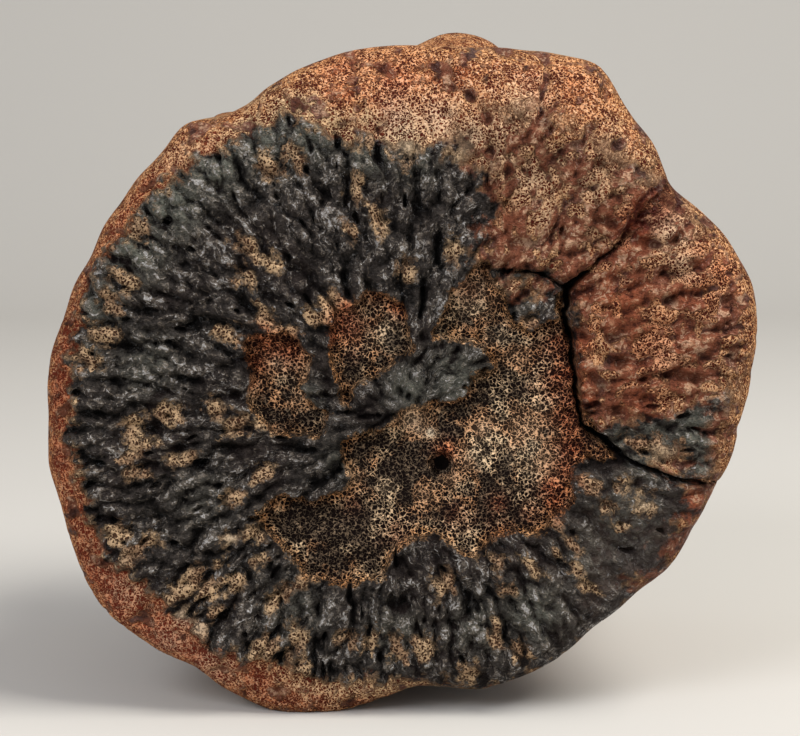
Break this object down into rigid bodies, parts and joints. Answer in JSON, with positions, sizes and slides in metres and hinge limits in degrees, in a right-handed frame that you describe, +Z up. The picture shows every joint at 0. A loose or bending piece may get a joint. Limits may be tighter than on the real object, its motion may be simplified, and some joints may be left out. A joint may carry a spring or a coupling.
{
  "type": "fossil whale vertebra",
  "caption": "Round, waisted body of a fossil whale vertebra with radially ridged dark end faces, spongy worn pockets and cracks, resting on its rim.",
  "frame": {"origin": "on the floor, under the middle of the bone's bounding box", "axes": "+Z up, -Y out of the front end face, +X to the right of a viewer who looks at that face"},
  "size_m": [0.19, 0.1166, 0.1841],
  "materials": {
    "fossil_bone": "mineralised bone: glossy black radially ridged crust on the end faces, matt red-brown to tan open spongy bone in the worn pockets and round the rim, smooth brown cortex on the flank"
  },
  "bodies": {
    "root": {"vertebra": "fossil_bone"}
  },
  "joints": []
}
